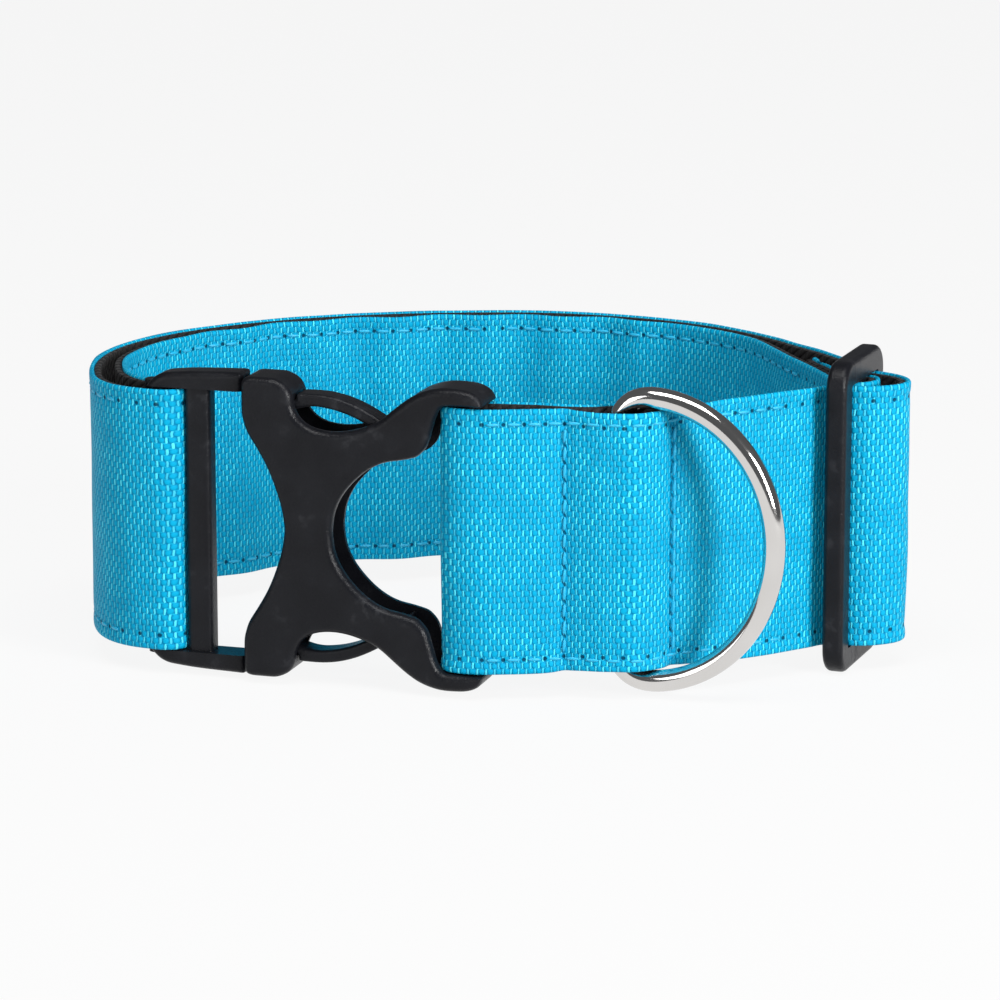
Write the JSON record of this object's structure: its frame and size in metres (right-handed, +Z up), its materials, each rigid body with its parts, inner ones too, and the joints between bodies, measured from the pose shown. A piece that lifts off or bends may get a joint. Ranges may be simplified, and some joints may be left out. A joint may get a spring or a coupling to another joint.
{
  "type": "adjustable dog collar",
  "caption": "Adjustable flat collar of cloth-covered webbing with a contoured side release buckle, a D-ring and a tri-glide slider, standing on edge as a closed loop.",
  "frame": {"origin": "under the middle of the whole collar's bounding box, on the ground it stands on", "axes": "+X to the right seen from the buckle's side, with the slider at +X; +Y from the buckle to the back of the loop; +Z up, along the strap's width"},
  "size_m": [0.157, 0.1058, 0.0598],
  "materials": {
    "cloth": "woven polyester",
    "webbing": "coarse woven webbing",
    "plastic": "fine grained satin",
    "steel": "polished nickel plate",
    "thread": "twisted polyester thread"
  },
  "bodies": {
    "collar": {"female_buckle": "plastic", "webbing_front": "webbing", "cover_front": "cloth", "webbing_back_outer": "webbing", "cover_back_outer": "cloth", "webbing_back_inner": "webbing", "cover_back_inner": "cloth", "stitch_upper_pocket": "thread", "stitch_lower_pocket": "thread", "stitch_upper_front": "thread", "stitch_lower_front": "thread", "stitch_upper_back_outer": "thread", "stitch_lower_back_outer": "thread", "stitch_upper_back_inner": "thread", "stitch_lower_back_inner": "thread", "seam_buckle": "thread", "seam_ring": "thread"},
    "male_half": {"male_frame": "plastic", "webbing_left_turn": "webbing", "cover_left_turn": "cloth", "stitch_upper_left_outer": "thread", "stitch_lower_left_outer": "thread", "stitch_upper_left_inner": "thread", "stitch_lower_left_inner": "thread"},
    "upper_arm": {"prong_upper": "plastic"},
    "lower_arm": {"prong_lower": "plastic"},
    "ring": {"d_ring": "steel"},
    "slider": {"tri_glide": "plastic", "webbing_slider_bend": "webbing", "cover_slider_bend": "cloth", "webbing_slider_loop": "webbing", "cover_slider_loop": "cloth", "stitch_upper_slider_bend": "thread", "stitch_lower_slider_bend": "thread", "stitch_upper_slider_loop": "thread", "stitch_lower_slider_loop": "thread", "seam_slider": "thread"}
  },
  "joints": [
    {"name": "buckle_release", "type": "slide", "parent": "collar", "child": "male_half", "axis": [-0.9563, 0.2924, 0], "range_m": [0, 0.034], "deforming": ["prong_upper", "prong_lower"]},
    {"name": "upper_arm_press", "type": "hinge", "parent": "male_half", "child": "upper_arm", "pos_m": [-0.0462, -0.02895, 0.0525], "axis": [0.2924, 0.9563, 0], "range_deg": [0, 9], "stiffness_Nm_per_rad": 1.5},
    {"name": "lower_arm_press", "type": "hinge", "parent": "male_half", "child": "lower_arm", "pos_m": [-0.0462, -0.02895, 0.0073], "axis": [-0.2924, -0.9563, 0], "range_deg": [0, 9], "stiffness_Nm_per_rad": 1.5},
    {"name": "ring_swing", "type": "hinge", "parent": "collar", "child": "ring", "pos_m": [0.02206, -0.04164, 0.0299], "axis": [0, 0, 1], "range_deg": [-130, 20], "deforming": ["webbing_front", "cover_front", "stitch_upper_front", "stitch_lower_front", "stitch_upper_pocket", "stitch_lower_pocket"]},
    {"name": "slider_travel", "type": "hinge", "parent": "collar", "child": "slider", "pos_m": [-0.00244, -0.01924, 0.0299], "axis": [0, 0, 1], "range_deg": [0, 15], "deforming": ["webbing_back_outer", "cover_back_outer", "webbing_back_inner", "cover_back_inner", "stitch_upper_back_outer", "stitch_lower_back_outer", "stitch_upper_back_inner", "stitch_lower_back_inner"]}
  ]
}
